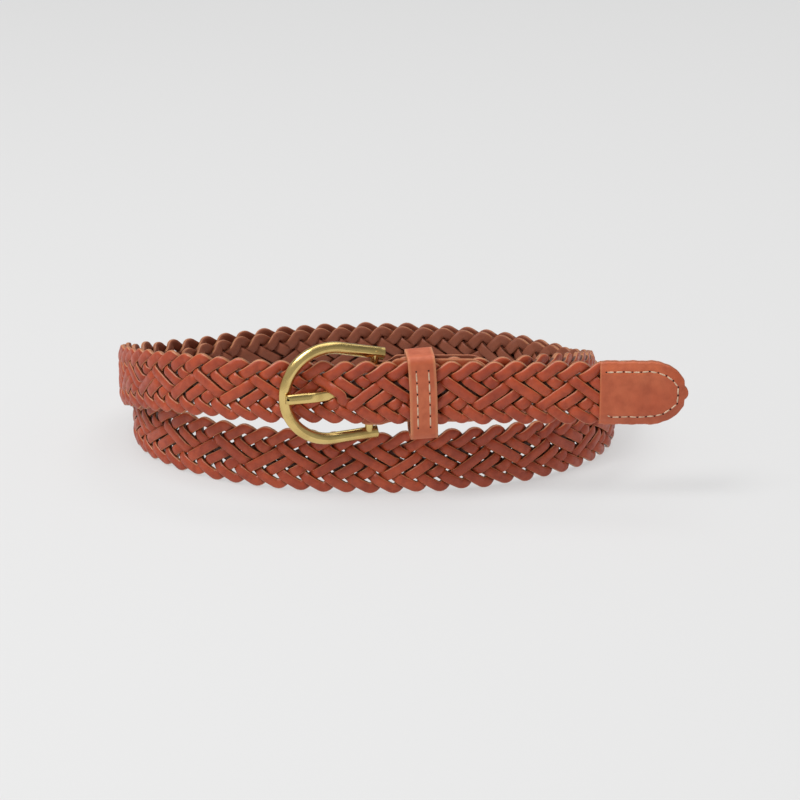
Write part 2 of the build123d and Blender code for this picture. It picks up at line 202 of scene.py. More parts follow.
@dataclass(frozen=True)
class LeatherFinish:
    """Waxed vegetable-tanned leather with pale rims, darker cut sides and a duller flesh side, and
    painted shade where strands lie behind others or in the gaps between them.
    """

    name: str
    deep: Colour = (0.200, 0.020, 0.005, 1)
    base: Colour = (0.380, 0.050, 0.014, 1)
    light: Colour = (0.500, 0.078, 0.022, 1)
    rim: Colour = (0.640, 0.270, 0.120, 1)
    side: Colour = (0.200, 0.060, 0.022, 1)
    flesh: Colour = (0.230, 0.060, 0.026, 1)
    # Painted shade: near-black brown mixed in where a strand lies behind others and on cut sides in
    # the gaps.
    painted_crevice_shade: Colour = (0.045, 0.011, 0.004, 1)
    cloud_scale: float = 55.0
    grain_scale: float = 1500.0
    grain_height: float = 0.00006
    roughness: tuple[float, float] = (0.36, 0.56)

    def material(self) -> bpy.types.Material:
        """Build the finish; it reads the parts attribute (rim, side, flesh, and painted shade in
        its alpha).

        Returns:
            The material.
        """
        chart = Chart(self.name)
        place = chart.add("ShaderNodeTexCoord").outputs["Object"]
        cloud = chart.add("ShaderNodeTexNoise", Scale=self.cloud_scale, Detail=4.0)
        blotch = chart.add("ShaderNodeTexNoise", Scale=self.cloud_scale * 6, Detail=5.0)
        pores = chart.add("ShaderNodeTexVoronoi", Scale=self.grain_scale)
        fibre = chart.add("ShaderNodeTexNoise", Scale=self.grain_scale * 2, Detail=3.0)
        for node in (cloud, blotch, pores, fibre):
            chart.join(place, node.inputs["Vector"])
        parts = chart.add("ShaderNodeAttribute", attribute_name="parts")
        split = chart.add("ShaderNodeSeparateColor")
        chart.join(parts.outputs["Color"], split.inputs[0])
        rim, side, flesh = split.outputs
        wide = chart.spread(cloud.outputs[0], 0.35, 0.68, 0.0, 1.0)
        fine = chart.spread(blotch.outputs[0], 0.40, 0.75, 0.0, 0.55)
        colour = chart.blend(wide, self.base, self.light)
        colour = chart.blend(fine, colour, self.deep)
        colour = chart.blend(flesh, colour, self.flesh)
        colour = chart.blend(side, colour, self.side)
        ragged = chart.add("ShaderNodeMath", operation="MULTIPLY")
        chart.join(rim, ragged.inputs[0])
        chart.join(chart.spread(blotch.outputs[0], 0.35, 0.6, 0.35, 1.0), ragged.inputs[1])
        colour = chart.blend(ragged.outputs[0], colour, self.rim)
        # Painted shade: the alpha is 1 less the painted shade, and up to 0.85 of the crevice colour
        # is mixed in where it falls.
        shade = chart.spread(parts.outputs["Alpha"], 0.0, 1.0, 0.85, 0.0)
        colour = chart.blend(shade, colour, self.painted_crevice_shade)
        chart.join(colour, chart.shader.inputs["Base Color"])
        gloss = chart.spread(blotch.outputs[0], 0.3, 0.7, *self.roughness)
        dull = chart.add("ShaderNodeMath", operation="MULTIPLY_ADD")
        chart.join(flesh, dull.inputs[0])
        dull.inputs[1].default_value = 0.3
        chart.join(gloss, dull.inputs[2])
        chart.join(dull.outputs[0], chart.shader.inputs["Roughness"])
        normal = chart.bump(pores.outputs["Distance"], 0.35, self.grain_height)
        normal = chart.bump(fibre.outputs[0], 0.30, self.grain_height, normal)
        normal = chart.bump(blotch.outputs[0], 0.35, self.grain_height * 6, normal)
        chart.join(normal, chart.shader.inputs["Normal"])
        chart.shader.inputs["Specular IOR Level"].default_value = 0.45
        chart.shader.inputs["Coat Weight"].default_value = 0.12
        chart.shader.inputs["Coat Roughness"].default_value = 0.32
        return chart.material


@dataclass(frozen=True)
class BrassFinish:
    """Polished solid brass with an aged tint, faint scratches and smears."""

    name: str = "aged_brass"
    bright: Colour = (0.760, 0.560, 0.215, 1)
    aged: Colour = (0.430, 0.290, 0.095, 1)
    roughness: tuple[float, float] = (0.14, 0.34)

    def material(self) -> bpy.types.Material:
        """Build the finish.

        Returns:
            The material.
        """
        chart = Chart(self.name)
        place = chart.add("ShaderNodeTexCoord").outputs["Object"]
        smear = chart.add("ShaderNodeTexNoise", Scale=140.0, Detail=5.0)
        speck = chart.add("ShaderNodeTexNoise", Scale=1900.0, Detail=2.0)
        chart.join(place, smear.inputs["Vector"])
        chart.join(place, speck.inputs["Vector"])
        stretch = chart.add("ShaderNodeMapping")
        stretch.inputs["Scale"].default_value = (260.0, 260.0, 4200.0)
        chart.join(place, stretch.inputs["Vector"])
        scratch = chart.add("ShaderNodeTexNoise", Scale=1.0, Detail=3.0)
        chart.join(stretch.outputs[0], scratch.inputs["Vector"])
        aged = chart.spread(smear.outputs[0], 0.42, 0.78, 0.0, 0.75)
        chart.join(chart.blend(aged, self.bright, self.aged), chart.shader.inputs["Base Color"])
        gloss = chart.spread(smear.outputs[0], 0.3, 0.7, *self.roughness)
        chart.join(gloss, chart.shader.inputs["Roughness"])
        normal = chart.bump(scratch.outputs[0], 0.12, 0.00003)
        normal = chart.bump(speck.outputs[0], 0.18, 0.00003, normal)
        chart.join(normal, chart.shader.inputs["Normal"])
        chart.shader.inputs["Metallic"].default_value = 1.0
        return chart.material


@dataclass(frozen=True)
class ThreadFinish:
    """Waxed linen sewing thread with its twist."""

    name: str = "linen_thread"
    pale: Colour = (0.740, 0.560, 0.400, 1)
    worn: Colour = (0.520, 0.330, 0.210, 1)

    def material(self) -> bpy.types.Material:
        """Build the finish.

        Returns:
            The material.
        """
        chart = Chart(self.name)
        place = chart.add("ShaderNodeTexCoord").outputs["Object"]
        fuzz = chart.add("ShaderNodeTexNoise", Scale=700.0, Detail=3.0)
        twist = chart.add("ShaderNodeTexWave", Scale=420.0, Distortion=1.5)
        chart.join(place, fuzz.inputs["Vector"])
        chart.join(place, twist.inputs["Vector"])
        share = chart.spread(fuzz.outputs[0], 0.35, 0.7, 0.0, 1.0)
        chart.join(chart.blend(share, self.pale, self.worn), chart.shader.inputs["Base Color"])
        chart.join(chart.spread(fuzz.outputs[0], 0.3, 0.7, 0.6, 0.85),
                   chart.shader.inputs["Roughness"])
        normal = chart.bump(twist.outputs["Color"], 0.6, 0.00008)
        chart.join(normal, chart.shader.inputs["Normal"])
        chart.shader.inputs["Sheen Weight"].default_value = 0.2
        return chart.material


@dataclass(frozen=True)
class HoleShadeFinish:
    """Painted shade inside an awl hole: a near-black finish."""

    name: str = "awl_hole_painted_shade"

    def material(self) -> bpy.types.Material:
        """Build the finish.

        Returns:
            The material.
        """
        chart = Chart(self.name)
        place = chart.add("ShaderNodeTexCoord").outputs["Object"]
        fuzz = chart.add("ShaderNodeTexNoise", Scale=900.0, Detail=3.0)
        chart.join(place, fuzz.inputs["Vector"])
        dark = chart.blend(fuzz.outputs[0], (0.012, 0.004, 0.002, 1), (0.040, 0.012, 0.006, 1))
        chart.join(dark, chart.shader.inputs["Base Color"])
        chart.shader.inputs["Roughness"].default_value = 0.9
        return chart.material


@dataclass(frozen=True)
class FloorFinish:
    """A plain pale studio floor."""

    name: str = "studio_floor"
    colour: Colour = (0.29, 0.29, 0.29, 1)
    glow: float = 0.48

    def material(self) -> bpy.types.Material:
        """Build the finish.

        Returns:
            The material.
        """
        chart = Chart(self.name)
        chart.shader.inputs["Base Color"].default_value = self.colour
        chart.shader.inputs["Roughness"].default_value = 0.9
        chart.shader.inputs["Specular IOR Level"].default_value = 0.0
        chart.shader.inputs["Emission Color"].default_value = (1, 1, 1, 1)
        chart.shader.inputs["Emission Strength"].default_value = self.glow
        return chart.material


# ------------------------------------------------------------------ making pieces


@dataclass(frozen=True)
class Parts:
    """How far a spot on leather is its rim, its cut side or its flesh side, and how much painted
    shade it takes.
    """

    rim: float = 0.0
    side: float = 0.0
    flesh: float = 0.0
    painted_shade: float = 0.0


def put_out(
    bm: bmesh.types.BMesh, name: str, body: Body, slot: Slot,
    materials: list[bpy.types.Material], hides: tuple[str, ...] = (),
) -> bpy.types.Object:
    """Make an object of a finished mesh and tie it to its body.

    Args:
        bm: The mesh, in metres in the row frame. It is freed.
        name: The piece's name.
        body: The body that it rides on.
        slot: The record's material slot; not used.
        materials: Its materials in slot order.
        hides: CAD nodes that it stands for.

    Returns:
        The new object.
    """
    mesh = bpy.data.meshes.new(name)
    bm.to_mesh(mesh)
    bm.free()
    mesh.shade_smooth()
    for material in materials:
        mesh.materials.append(material)
    piece = bpy.data.objects.new(name, mesh)
    bpy.context.scene.collection.objects.link(piece)
    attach(piece, body.value)
    if hides:
        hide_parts(*hides)
    LOG.info("%s: %d faces on %s", name, len(mesh.polygons), body.value)
    return piece


def rolled_sheet(
    rings: int, around: int, spot: Callable[[int, int], Vector],
    parts: Callable[[int, int], Parts] | None = None, closed: bool = True,
) -> bmesh.types.BMesh:
    """Lay a grid along a line and roll it round into a bar, or leave it as a sheet.

    Args:
        rings: Steps along the line.
        around: Steps round the section.
        spot: Where the corner of that ring and step lies, in metres.
        parts: What the leather is there, and how much painted shade it takes.
        closed: Whether the grid's two long edges are sewn together and its two ends filled.

    Returns:
        The mesh, with a UV map of steps along and round.
    """
    bm = bmesh.new()
    bmesh.ops.create_grid(bm, x_segments=rings, y_segments=around, size=0.5)
    layer = bm.verts.layers.float_color.new("parts") if parts else None
    uv = bm.loops.layers.uv.new("along_round")
    for face in bm.faces:
        for loop in face.loops:
            loop[uv].uv = (loop.vert.co.x + 0.5, loop.vert.co.y + 0.5)
    for vert in bm.verts:
        ring = round((vert.co.x + 0.5) * rings)
        step = round((vert.co.y + 0.5) * around)
        vert.co = spot(ring, step)
        if layer:
            spot_parts = parts(ring, step)
            # The alpha holds 1 less the painted shade.
            unshaded_share = 1.0 - spot_parts.painted_shade
            vert[layer] = (spot_parts.rim, spot_parts.side, spot_parts.flesh, unshaded_share)
    if closed:
        bmesh.ops.remove_doubles(bm, verts=bm.verts, dist=1e-6)
        rims = [edge for edge in bm.edges if edge.is_boundary]
        bmesh.ops.holes_fill(bm, edges=rims, sides=0)
        bmesh.ops.recalc_face_normals(bm, faces=bm.faces)
    return bm


# ------------------------------------------------------------------ the braid


@dataclass
class Station:
    """A place along the strap: middle of its thickness, outward normal and turn."""

    x: float
    y: float
    normal: tuple[float, float]
    turn: float


@dataclass
class CoilPath:
    """The line that the strap follows, from the chape twice round to the tip."""

    corners: list[tuple[float, float]] = field(
        default_factory=lambda: [
            (46.0, INNER_LAP_Y), (86.5, 6.0), (5.0, 71.5), (-94.7, 0.0), (0.5, -68.7),
            (94.8, -2.0), (2.0, 77.2), (-100.3, 8.0), (-33.0, OUTER_LAP_Y + BUCKLE_DIP),
        ]
    )
    start_x: float = 9.0
    end_x: float = 97.5
    dip: tuple[float, float] = (-28.0, -4.0)
    upper_lift: float = 31.0
    fall: tuple[float, float] = (12.0, 135.0)
    rise: tuple[float, float] = (579.0, 702.0)
    crossing_upper: tuple[float, float, float] = (61.0, 27.0, 4.4)
    crossing_lower: tuple[float, float, float] = (418.0, 30.0, 2.6)
    steps_per_corner: int = 220
    coil_pitch: float = 8.86
    front_pitch: float = 7.88

    def __post_init__(self) -> None:
        """Walk the line once and note stations, lengths and the braid's phase."""
        self.stations: list[Station] = []
        first, last = self.corners[0], self.corners[-1]
        for step in range(90):
            x = self.start_x + (first[0] - self.start_x) * step / 90
            self.stations.append(Station(x, first[1], (0.0, -1.0), 0.0))
        for corner in range(len(self.corners) - 1):
            for step in range(self.steps_per_corner):
                self.stations.append(self.on_corner(corner, step / self.steps_per_corner))
        for step in range(301):
            self.stations.append(self.on_free_end(last[0] + (self.end_x - last[0]) * step / 300))
        self.phases = [0.0]
        for before, after in zip(self.stations, self.stations[1:]):
            run = math.hypot(after.x - before.x, after.y - before.y)
            share = smooth((after.turn - 560.0) / 120.0)
            pitch = self.coil_pitch + (self.front_pitch - self.coil_pitch) * share
            self.phases.append(self.phases[-1] + run / pitch)
        self.total = self.phases[-1]

    def on_free_end(self, x: float) -> Station:
        """Find a station of the free end, which lies further back under the buckle's round end."""
        start, end = self.dip
        share = min(max((end - x) / (end - start), 0.0), 1.0)
        slope = -BUCKLE_DIP * 6 * share * (1 - share) / (end - start)
        length = math.hypot(1.0, slope)
        y = OUTER_LAP_Y + BUCKLE_DIP * smooth(share)
        return Station(x, y, (slope / length, -1 / length), 90.0 * (len(self.corners) - 1))

    def on_corner(self, corner: int, share: float) -> Station:
        """Find a station on one quarter of an ellipse.

        Args:
            corner: Which quarter.
            share: How far along it, 0 to 1.

        Returns:
            The station.
        """
        (x0, y0), (x1, y1) = self.corners[corner], self.corners[corner + 1]
        angle = math.pi / 2 * share
        sine, cosine = math.sin(angle), math.cos(angle)
        if corner % 2 == 0:
            x, y = x0 + (x1 - x0) * sine, y1 + (y0 - y1) * cosine
            along = ((x1 - x0) * cosine, (y1 - y0) * sine)
        else:
            x, y = x1 + (x0 - x1) * cosine, y0 + (y1 - y0) * sine
            along = ((x1 - x0) * sine, (y1 - y0) * cosine)
        length = math.hypot(*along)
        normal = (along[1] / length, -along[0] / length)
        return Station(x, y, normal, 90.0 * (corner + share))

    def station(self, phase: float) -> Station:
        """Find the station at a phase of the braid, between the walked ones."""
        phase = min(max(phase, 0.0), self.total)
        low, high = 0, len(self.phases) - 1
        while high - low > 1:
            middle = (low + high) // 2
            low, high = (middle, high) if self.phases[middle] <= phase else (low, middle)
        run = self.phases[high] - self.phases[low]
        share = (phase - self.phases[low]) / run if run else 0.0
        a, b = self.stations[low], self.stations[high]
        return Station(
            a.x + (b.x - a.x) * share,
            a.y + (b.y - a.y) * share,
            (a.normal[0] + (b.normal[0] - a.normal[0]) * share,
             a.normal[1] + (b.normal[1] - a.normal[1]) * share),
            a.turn + (b.turn - a.turn) * share,
        )

    @staticmethod
    def hump(turn: float, crossing: tuple[float, float, float]) -> float:
        """Height given up where one turn bears on the other."""
        middle, half_width, height = crossing
        share = (turn - middle) / half_width
        return height * math.cos(math.pi * share / 2) ** 2 if abs(share) < 1 else 0.0

    def edges(self, turn: float) -> tuple[float, float]:
        """Heights of the strap's lower and upper edge at a turn."""
        fall = smooth((turn - self.fall[0]) / (self.fall[1] - self.fall[0]))
        rise = smooth((turn - self.rise[0]) / (self.rise[1] - self.rise[0]))
        low = self.upper_lift * (1 - fall + rise)
        return (low + self.hump(turn, self.crossing_upper),
                low + STRAP_WIDTH - self.hump(turn, self.crossing_lower))

    def spot(self, phase: float, across: float, out: float) -> Vector:
        """Carry a spot of the flat braid on to the coil.

        Args:
            phase: How far along, in pitches of the braid.
            across: Millimetres up from the strap's middle line.
            out: Millimetres out of the strap's middle plane.

        Returns:
            The spot in millimetres about the coil's middle.
        """
        here = self.station(phase)
        low, high = self.edges(here.turn)
        z = low + (high - low) * (across / STRAP_WIDTH + 0.5)
        return Vector((here.x + here.normal[0] * out, here.y + here.normal[1] * out, z))


@dataclass
class Braid:
    """Seven flat strands plaited into a strap."""

    path: CoilPath
    strands: int = 7
    phase_shift: float = -0.485
    rounding: float = 0.2
    layer: float = 1.1
    steps_per_pitch: int = 14
    way: tuple[tuple[float, float], ...] = (
        (0.0, 11.0), (0.5, 5.7), (1.52, 0.0), (2.7, -6.5), (3.5, -11.0),
    )
    section: tuple[tuple[float, float], ...] = (
        (0.0, 1.08), (-0.95, 0.98), (-1.62, 0.72), (-1.88, 0.48), (-1.98, 0.18),
        (-2.00, -0.60), (-1.84, -0.90), (-0.80, -0.96), (0.80, -0.96), (1.84, -0.90),
        (2.00, -0.60), (1.98, 0.18), (1.88, 0.48), (1.62, 0.72), (0.95, 0.98),
    )

    def __post_init__(self) -> None:
        """Find where the strands cross and note the events of one strand's way down and up."""
        top = [self.crossing(k) for k in range(1, 7)]
        down = [(local, k) for k, local in enumerate(top, start=1)]
        up = [(local - k + 7.0, 14 - k) for k, local in enumerate(top, start=1)]
        self.events = sorted([(0.0, 0), (3.5, 7), (7.0, 14), *down, *up])

    def crossing(self, k: int) -> float:
        """Phase after its top turn at which a strand meets the one that turned k pitches later."""
        low, high = max(k / 2 - 0.9, 0.0), min(k / 2 + 0.5, 3.5)
        steps = [low + (high - low) * i / 200 for i in range(201)]
        return min(
            steps, key=lambda local: abs(self.across(local) - self.across((local - k) % 7.0))
        )

    def falling_over(self, strand: int, crossing: int) -> bool:
        """Whether a falling strand passes over at a crossing, counted 1 to 6 from its top turn."""
        run = (3, 2, 1)[strand % 3]
        return crossing == 6 or 2 <= crossing <= run + 1

    def side(self, strand: int, event: int) -> float:
        """Which side a strand lies on at an event.

        Args:
            strand: The count of its top turn along the belt.
            event: 0 and 14 are top turns, 7 the bottom turn, the rest crossings.

        Returns:
            1 in front, -1 behind, less at a turn.
        """
        if event % 7 == 0:
            return 0.25
        if event < 7:
            return 1.0 if self.falling_over(strand, event) else -1.0
        crossing = 14 - event
        other = strand + 7 - crossing
        return -1.0 if self.falling_over(other, crossing) else 1.0

    def bent(self, local: float) -> float:
        """Height of a strand's middle line before its bends are rounded."""
        local %= 7.0
        sign = 1.0
        if local >= 3.5:
            local, sign = local - 3.5, -1.0
        for (x0, y0), (x1, y1) in zip(self.way, self.way[1:]):
            if local <= x1:
                return sign * (y0 + (y1 - y0) * (local - x0) / (x1 - x0))
        return sign * self.way[-1][1]

    def across(self, local: float) -> float:
        """Height of a strand's middle line at a phase 0 to 7 after its top turn."""
        reach = range(-4, 5)
        return sum(self.bent(local + self.rounding * i / 4) for i in reach) / len(reach)

    def out(self, strand: int, local: float) -> float:
        """How far a strand lies out of the strap's middle plane at that phase."""
        index = 0
        while index < len(self.events) - 2 and self.events[index + 1][0] <= local:
            index += 1
        (start, here), (end, following) = self.events[index], self.events[index + 1]
        share = smooth(((local - start) / (end - start) - 0.1) / 0.8)
        first, last = self.side(strand, here), self.side(strand, following)
        return self.layer * (first + (last - first) * share)

    def part_round_prong(self, point: Vector) -> Vector:
        """Push a spot of the free end away from the prong that passes through it."""
        if point.y > -76.0 or not -24.0 < point.x < -2.0:
            return point
        along = (point.x + 13.0) / 10.0
        height = (point.z - BAR_HEIGHT - 0.4) / 4.6
        near = max(0.0, 1 - along * along) * math.exp(-height * height)
        share = smooth((point.x + 17.5) / 4.0)
        return point + Vector((0.0, near * (1.1 - 2.3 * share), math.copysign(0.9, height) * near))

    def line(self, strand: int, phase: float) -> Vector:
        """Middle line of a strand at a phase of the braid."""
        shifted = phase - self.phase_shift - strand
        local = shifted % 7.0
        count = strand + 7 * math.floor(shifted / 7.0)
        slow = 0.16 * math.sin(phase * 0.83 + strand * 2.1)
        wander = slow + 0.12 * math.sin(phase * 2.3 + strand)
        across = self.across(local) + wander
        out = self.out(count, local) + 0.10 * math.sin(phase * 1.7 + strand * 1.3)
        return self.part_round_prong(self.path.spot(phase, across, out))

    def make_strand(self, strand: int, material: bpy.types.Material) -> bpy.types.Object:
        """Lay one strand along the whole belt.

        Args:
            strand: Its number, 0 to 6.
            material: Its leather.

        Returns:
            The piece.
        """
        rings = int(self.path.total * self.steps_per_pitch)
        centres = [self.line(strand, self.path.total * i / rings) for i in range(rings + 1)]
        frames: list[tuple[Vector, Vector]] = []
        for index in range(rings + 1):
            before, after = centres[max(index - 1, 0)], centres[min(index + 1, rings)]
            here = self.path.station(self.path.total * index / rings)
            along = (after - before).normalized()
            side = along.cross(Vector((here.normal[0], here.normal[1], 0.0))).normalized()
            frames.append((side, side.cross(along).normalized()))
        count = len(self.section)

        def spot(ring: int, step: int) -> Vector:
            """Corner of the section at a ring."""
            a, b = self.section[step % count]
            phase = self.path.total * ring / rings
            width = 1.0 + 0.05 * math.sin(phase * 1.9 + strand * 1.7)
            side, out = frames[ring]
            return placed(centres[ring] + side * (a * width) + out * b)

        def parts(ring: int, step: int) -> Parts:
            """Rim, cut side or flesh side at that corner of the section, and painted shade where
            the strand lies behind and in the gaps between strands.
            """
            a, b = self.section[step % count]
            phase = self.path.total * ring / rings - self.phase_shift - strand
            out = self.out(strand + 7 * math.floor(phase / 7.0), phase % 7.0)
            # Painted shade where the strand dips behind the others.
            painted_shade = smooth((0.15 * self.layer - out) / self.layer)
            at_turn = min(phase % 3.5, 3.5 - phase % 3.5) < 0.4
            if b < -0.7:
                return Parts(flesh=1.0)
            # Cut sides take painted shade in the gaps between strands, but none at the turns.
            if abs(a) > 1.95:
                return Parts(side=1.0, rim=0.5 if at_turn else 0.0, painted_shade=0.0 if at_turn else 0.7)
            return Parts(rim=1.0 if abs(a) > 1.85 else 0.0, painted_shade=painted_shade)

        bm = rolled_sheet(rings, count, spot, parts)
        hides = ("braided_strap",)
        return put_out(bm, f"strand_{strand + 1}", Body.STRAP, Slot.BRAID, [material], hides)


# ------------------------------------------------------------------ sewing


@dataclass
class Sewing:
    """A row of stitches along a line on leather."""

    thread: bpy.types.Material
    # The painted shade finish for the awl holes.
    hole_shade: bpy.types.Material
    radius: float = 0.30
    gap: float = 0.55

    def make_row(
        self, name: str, body: Body, node: str, line: Callable[[float], Vector], length: float,
        pitch: float, out: Vector, closed: bool,
    ) -> bpy.types.Object:
        """Sew one row.

        Args:
            name: The piece's name.
            body: The body that it rides on.
            node: The CAD node that it stands for.
            line: Where the row runs at a share of its length, in millimetres.
            length: Its length in millimetres.
            pitch: Distance between holes.
            out: The way out of the leather.
            closed: Whether the row comes back to its start.

        Returns:
            The piece.
        """
        count = max(2, round(length / pitch))
        bm = bmesh.new()
        for index in range(count):
            a, b = line(index / count), line((index + 1) / count)
            along = b - a
            self.stitch(bm, (a + b) / 2 - out * 0.05, along, out, along.length - self.gap)
        # A dark ball of painted shade at each hole.
        for index in range(count if closed else count + 1):
            self.awl_hole_painted_shade(bm, line(index / count), out)
        return put_out(bm, name, body, Slot.THREAD, [self.thread, self.hole_shade], (node,))

    def stitch(
        self, bm: bmesh.types.BMesh, middle: Vector, along: Vector, out: Vector, length: float
    ) -> None:
        """Add one stitch that dips into the leather at both ends."""
        made = bmesh.ops.create_uvsphere(bm, u_segments=10, v_segments=8, radius=1.0)
        x_axis = along.normalized()
        y_axis = out.cross(x_axis).normalized()
        turn = Matrix((x_axis, y_axis, out.normalized())).transposed()
        for vert in made["verts"]:
            x = math.copysign(abs(vert.co.z) ** 0.55, vert.co.z)
            local = Vector((x * length / 2, vert.co.x * self.radius, vert.co.y * self.radius))
            local.z -= 0.18 * x ** 4
            vert.co = placed(middle + turn @ local)

    def awl_hole_painted_shade(self, bm: bmesh.types.BMesh, middle: Vector, out: Vector) -> None:
        """Add one flattened near-black ball at a stitch's end, painted shade for its awl hole."""
        made = bmesh.ops.create_icosphere(bm, subdivisions=1, radius=0.42)
        for vert in made["verts"]:
            flat = vert.co - out * vert.co.dot(out) * 0.72
            vert.co = placed(middle + flat)
        # These faces take the painted shade finish.
        for face in {face for vert in made["verts"] for face in vert.link_faces}:
            face.material_index = 1


def polyline(points: list[Vector]) -> tuple[Callable[[float], Vector], float]:
    """Make a line through points.

    Args:
        points: The points in order.

    Returns:
        A function from a share of the length to a point, and the length.
    """
    lengths = [0.0]
    for before, after in zip(points, points[1:]):
        lengths.append(lengths[-1] + (after - before).length)
    total = lengths[-1]

    def at(share: float) -> Vector:
        """Point at a share of the length."""
        wanted = min(max(share, 0.0), 1.0) * total
        for index in range(1, len(points)):
            if wanted <= lengths[index] or index == len(points) - 1:
                run = lengths[index] - lengths[index - 1]
                part = (wanted - lengths[index - 1]) / run if run else 0.0
                return points[index - 1].lerp(points[index], min(part, 1.0))
        return points[-1]

    return at, total


def arc_points(
    centre: Vector, radius: float, start: float, end: float, y: float, steps: int = 24
) -> list[Vector]:
    """Points of an arc in the upright plane at a depth, from one angle to another in degrees."""
    points = []
    for step in range(steps + 1):
        angle = math.radians(start + (end - start) * step / steps)
        points.append(Vector((centre.x + radius * math.cos(angle), y,
                              centre.z + radius * math.sin(angle))))
    return points


# ------------------------------------------------------------------ tip


@dataclass
class Tip:
    """The smooth tab at the free end: two leathers sewn round the braid's end."""

    leather: bpy.types.Material
    sewing: Sewing
    start_x: float = 84.3
    point_x: float = 117.6
    point_length: float = 14.6
    half: float = 12.15
    blunt: float = 3.0
    dome: float = 2.95
    rim: float = 1.35
    row_inset: float = 3.5
    row_start_inset: float = 2.2

    def half_height(self, x: float) -> float:
        """Half the tab's height at a place along it, coming to a blunt point."""
        over = x - (self.point_x - self.point_length)
        if over <= 0:
            return self.half
        bend = (self.half ** 2 + self.point_length ** 2) / (2 * self.half)
        pointed = math.sqrt(bend ** 2 - min(over, bend) ** 2) - (bend - self.half)
        left = max(self.point_x - 0.35 - x, 0.0)
        blunted = math.sqrt(max(self.blunt ** 2 - (self.blunt - left) ** 2, 0.0))
        return max(min(pointed, blunted) if left < self.blunt * 0.5 else pointed, 0.02)

    def swell(self, x: float, up: float) -> float:
        """How far the outer face stands from the strap's middle plane.

        Args:
            x: Place along the tab.
            up: -1 to 1 across it.

        Returns:
            The distance in millimetres.
        """
        edge = min(self.half_height(x) * (1 - abs(up)), (self.point_x - x) * 0.85)
        rise = smooth(edge / 4.6)
        row = math.exp(-((edge - self.row_inset) / 0.5) ** 2)
        rounding = 0.42 * (1 - smooth(edge / 0.5))
        past_braid = 0.55 * smooth((x - 98.0) / 6.0)
        uneven = 0.07 * math.sin(x * 0.9) + 0.05 * math.sin(x * 1.7 + up * 9)
        height = self.rim + (self.dome - self.rim - past_braid + uneven) * rise
        return height - 0.14 * row - rounding

    def make_leaf(self, side: int) -> bpy.types.Object:
        """Make the front (-1) or back (1) leather, domed over the braid and closed at the rim.

        Args:
            side: Which leather.

        Returns:
            The piece.
        """
        columns, rows = 76, 56
        thickness = 1.1

        def spot(column: int, row: int) -> Vector:
            """Corner of the outer face."""
            share = column / columns
            x = self.start_x + (self.point_x - self.start_x - 0.35) * math.sin(share * math.pi / 2)
            up = math.sin((row / rows - 0.5) * math.pi)
            wave = 0.10 * math.sin(x * 0.8) + 0.06 * math.sin(x * 1.9)
            z = STRAP_MIDDLE_Z + up * (self.half_height(x) + wave * (1 if share < 0.9 else 0))
            lip = 0.25 * (1 - smooth((x - self.start_x) / 0.7))
            return placed(Vector((x, OUTER_LAP_Y + side * (self.swell(x, up) - lip), z)))

        bm = rolled_sheet(columns, rows, spot, lambda column, row: Parts(), closed=False)
        bmesh.ops.remove_doubles(bm, verts=bm.verts, dist=2e-6)
        bmesh.ops.recalc_face_normals(bm, faces=bm.faces)
        probe = max(bm.faces, key=lambda face: face.calc_area())
        if probe.normal.y * side < 0:
            bmesh.ops.reverse_faces(bm, faces=bm.faces)
        outer = set(bm.verts)
        bmesh.ops.solidify(bm, geom=bm.faces[:], thickness=thickness * MM)
        layer = bm.verts.layers.float_color["parts"]
        for vert in bm.verts:
            sharp = any(edge.calc_face_angle(0.0) > 0.9 for edge in vert.link_edges)
            if vert in outer:
                vert[layer] = (0.55 if sharp else 0.0, 0.0, 0.0, 1.0)
            else:
                local = vert.co / MM - COIL_MIDDLE
                limit = OUTER_LAP_Y + side * 0.03
                if (local.y - limit) * side < 0:
                    local.y = limit
                    vert.co = placed(local)
                vert[layer] = (0.0, 0.6 if sharp else 0.0, 0.4, 1.0)
        node = "tip_front" if side < 0 else "tip_back"
        return put_out(bm, f"{node}_leather", Body.STRAP, Slot.SMOOTH, [self.leather], (node,))

    def row_outline(self, side: int) -> list[Vector]:
        """Corners of the closed row, lying in its groove on one face."""
        start = self.start_x + self.row_start_inset
        end = self.point_x - self.row_inset * 1.25
        flat: list[tuple[float, float]] = []
        for step in range(41):
            x = start + (end - start) * math.sin(step / 40 * math.pi / 2)
            over = max(x - (self.point_x - self.point_length), 0.0)
            half = self.half_height(x) - self.row_inset * (1 + 0.35 * (over / 10.0) ** 2)
            wave = 0.12 * math.sin(x * 1.3)
            flat.append((x, max(half + wave, 0.0)))
        points = [(x, up) for x, up in flat] + [(x, -up) for x, up in reversed(flat)]
        points.append(points[0])
        return [
            Vector((x, OUTER_LAP_Y + side * self.swell(x, up / self.half_height(x)),
                    STRAP_MIDDLE_Z + up))
            for x, up in points
        ]

    def make_row(self, side: int) -> bpy.types.Object:
        """Sew the closed row on the front (-1) or the back (1)."""
        line, length = polyline(self.row_outline(side))
        node = "tip_thread_front" if side < 0 else "tip_thread_back"
        out = Vector((0, side, 0))
        return self.sewing.make_row(f"{node}_stitches", Body.STRAP, node, line, length,
                                    3.3, out, True)

    def make(self) -> None:
        """Make both leathers and both rows."""
        for side in (-1, 1):
            self.make_leaf(side)
            self.make_row(side)


# ------------------------------------------------------------------ chape


